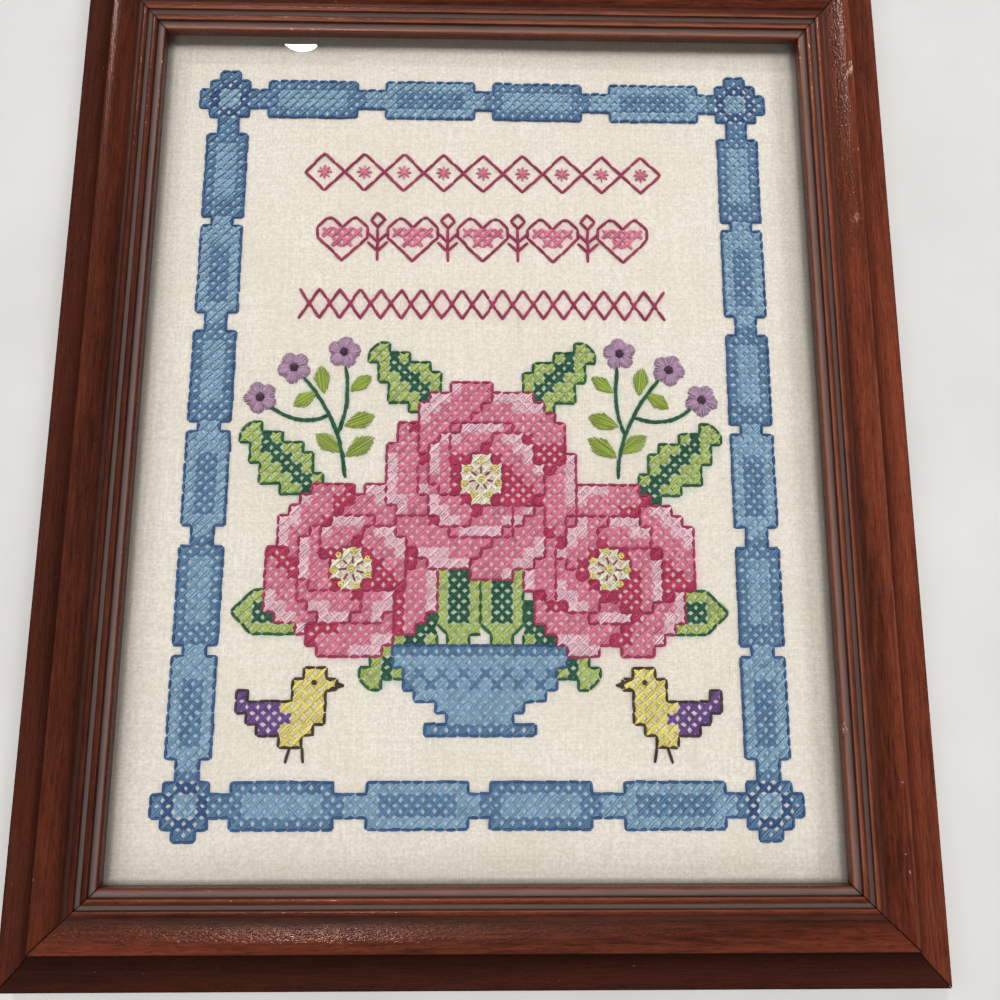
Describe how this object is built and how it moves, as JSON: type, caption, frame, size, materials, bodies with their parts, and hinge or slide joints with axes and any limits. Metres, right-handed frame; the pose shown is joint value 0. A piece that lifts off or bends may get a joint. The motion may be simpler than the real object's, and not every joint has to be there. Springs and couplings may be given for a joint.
{
  "type": "framed cross stitch sampler",
  "caption": "Cross stitch sampler on cream cotton cloth, stretched behind glass in a stepped dark wooden picture frame with mitred corners.",
  "frame": {"origin": "under the middle of the frame, level with the back of the rails on which it lies", "axes": "+Z out of the picture's face, +Y towards the top of the picture, +X to its right"},
  "size_m": [0.2436, 0.2944, 0.0184],
  "materials": {
    "wood": "satin varnish, dark reddish brown",
    "glass": "clear picture glass",
    "cloth": "cream plain weave cotton with stitches in blue, pink, green and lilac",
    "board": "plain grey board"
  },
  "bodies": {
    "root": {"rail_top": "wood", "rail_left": "wood", "rail_bottom": "wood", "rail_right": "wood", "glass": "glass", "cloth": "cloth", "back_board": "board"}
  },
  "joints": []
}
